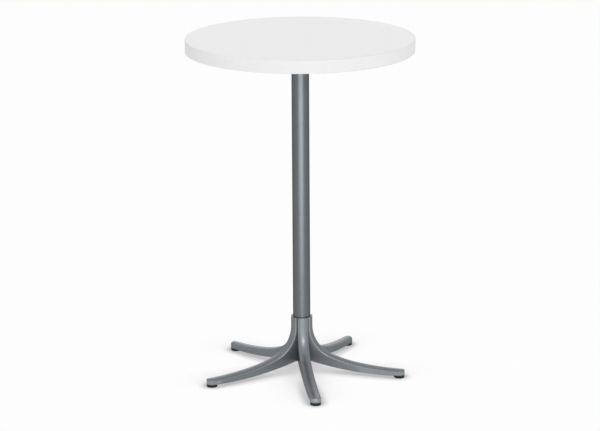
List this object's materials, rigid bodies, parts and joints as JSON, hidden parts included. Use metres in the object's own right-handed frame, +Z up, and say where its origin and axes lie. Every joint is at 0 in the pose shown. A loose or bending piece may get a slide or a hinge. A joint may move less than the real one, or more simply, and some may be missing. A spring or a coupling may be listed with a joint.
{
  "type": "bar table",
  "caption": "Round white pedestal table at standing height, on a tubular column and a star base of swept cast legs with levelling glides.",
  "frame": {"origin": "on the floor, under the middle of the column", "axes": "+Z up along the column; -Y towards the front leg, leg_1; +X to the right of someone who faces that leg"},
  "size_m": [0.7, 0.7, 1.07],
  "materials": {
    "white_laminate": "fine matt white laminate",
    "white_edging": "matt white edge band",
    "backing_laminate": "matt off-white backing sheet",
    "chipboard": "raw chipboard",
    "grey_lacquered_casting": "silver-grey lacquer on cast aluminium",
    "grey_lacquered_steel": "silver-grey lacquer on steel tube",
    "zinc_plated_steel": "bright zinc plate",
    "black_plastic": "moulded black plastic"
  },
  "bodies": {
    "table": {"top_core": "chipboard", "top_laminate": "white_laminate", "backing_laminate": "backing_laminate", "edge_band": "white_edging", "top_spider": "grey_lacquered_casting", "spider_screws": "zinc_plated_steel", "column_tube": "grey_lacquered_steel", "tie_rod": "zinc_plated_steel", "tie_rod_washer": "zinc_plated_steel", "tie_rod_nut": "zinc_plated_steel", "clamp_plate": "zinc_plated_steel", "clamp_screws": "zinc_plated_steel", "leg_1": "grey_lacquered_casting", "leg_2": "grey_lacquered_casting", "leg_3": "grey_lacquered_casting", "leg_4": "grey_lacquered_casting", "leg_5": "grey_lacquered_casting"},
    "pad_1": {"glide_pad_1": "black_plastic"},
    "pad_2": {"glide_pad_2": "black_plastic"},
    "pad_3": {"glide_pad_3": "black_plastic"},
    "pad_4": {"glide_pad_4": "black_plastic"},
    "pad_5": {"glide_pad_5": "black_plastic"},
    "stud_1": {"glide_stud_1": "zinc_plated_steel"},
    "stud_2": {"glide_stud_2": "zinc_plated_steel"},
    "stud_3": {"glide_stud_3": "zinc_plated_steel"},
    "stud_4": {"glide_stud_4": "zinc_plated_steel"},
    "stud_5": {"glide_stud_5": "zinc_plated_steel"}
  },
  "joints": [
    {"name": "glide_1_height", "type": "slide", "parent": "table", "child": "pad_1", "axis": [0, 0, -1], "range_m": [0, 0.004]},
    {"name": "glide_1_turn", "type": "hinge", "parent": "pad_1", "child": "stud_1", "pos_m": [0, -0.309, 0.008], "axis": [0, 0, -1], "range_deg": [0, 1152]},
    {"name": "glide_2_height", "type": "slide", "parent": "table", "child": "pad_2", "axis": [0, 0, -1], "range_m": [0, 0.004]},
    {"name": "glide_2_turn", "type": "hinge", "parent": "pad_2", "child": "stud_2", "pos_m": [0.29388, -0.09549, 0.008], "axis": [0, 0, -1], "range_deg": [0, 1152]},
    {"name": "glide_3_height", "type": "slide", "parent": "table", "child": "pad_3", "axis": [0, 0, -1], "range_m": [0, 0.004]},
    {"name": "glide_3_turn", "type": "hinge", "parent": "pad_3", "child": "stud_3", "pos_m": [0.18163, 0.24999, 0.008], "axis": [0, 0, -1], "range_deg": [0, 1152]},
    {"name": "glide_4_height", "type": "slide", "parent": "table", "child": "pad_4", "axis": [0, 0, -1], "range_m": [0, 0.004]},
    {"name": "glide_4_turn", "type": "hinge", "parent": "pad_4", "child": "stud_4", "pos_m": [-0.18163, 0.24999, 0.008], "axis": [0, 0, -1], "range_deg": [0, 1152]},
    {"name": "glide_5_height", "type": "slide", "parent": "table", "child": "pad_5", "axis": [0, 0, -1], "range_m": [0, 0.004]},
    {"name": "glide_5_turn", "type": "hinge", "parent": "pad_5", "child": "stud_5", "pos_m": [-0.29388, -0.09549, 0.008], "axis": [0, 0, -1], "range_deg": [0, 1152]}
  ],
  "couplings": [
    {"joint": "glide_1_height", "follows": "glide_1_turn", "m_per_rad": 0.00019894},
    {"joint": "glide_2_height", "follows": "glide_2_turn", "m_per_rad": 0.00019894},
    {"joint": "glide_3_height", "follows": "glide_3_turn", "m_per_rad": 0.00019894},
    {"joint": "glide_4_height", "follows": "glide_4_turn", "m_per_rad": 0.00019894},
    {"joint": "glide_5_height", "follows": "glide_5_turn", "m_per_rad": 0.00019894}
  ]
}
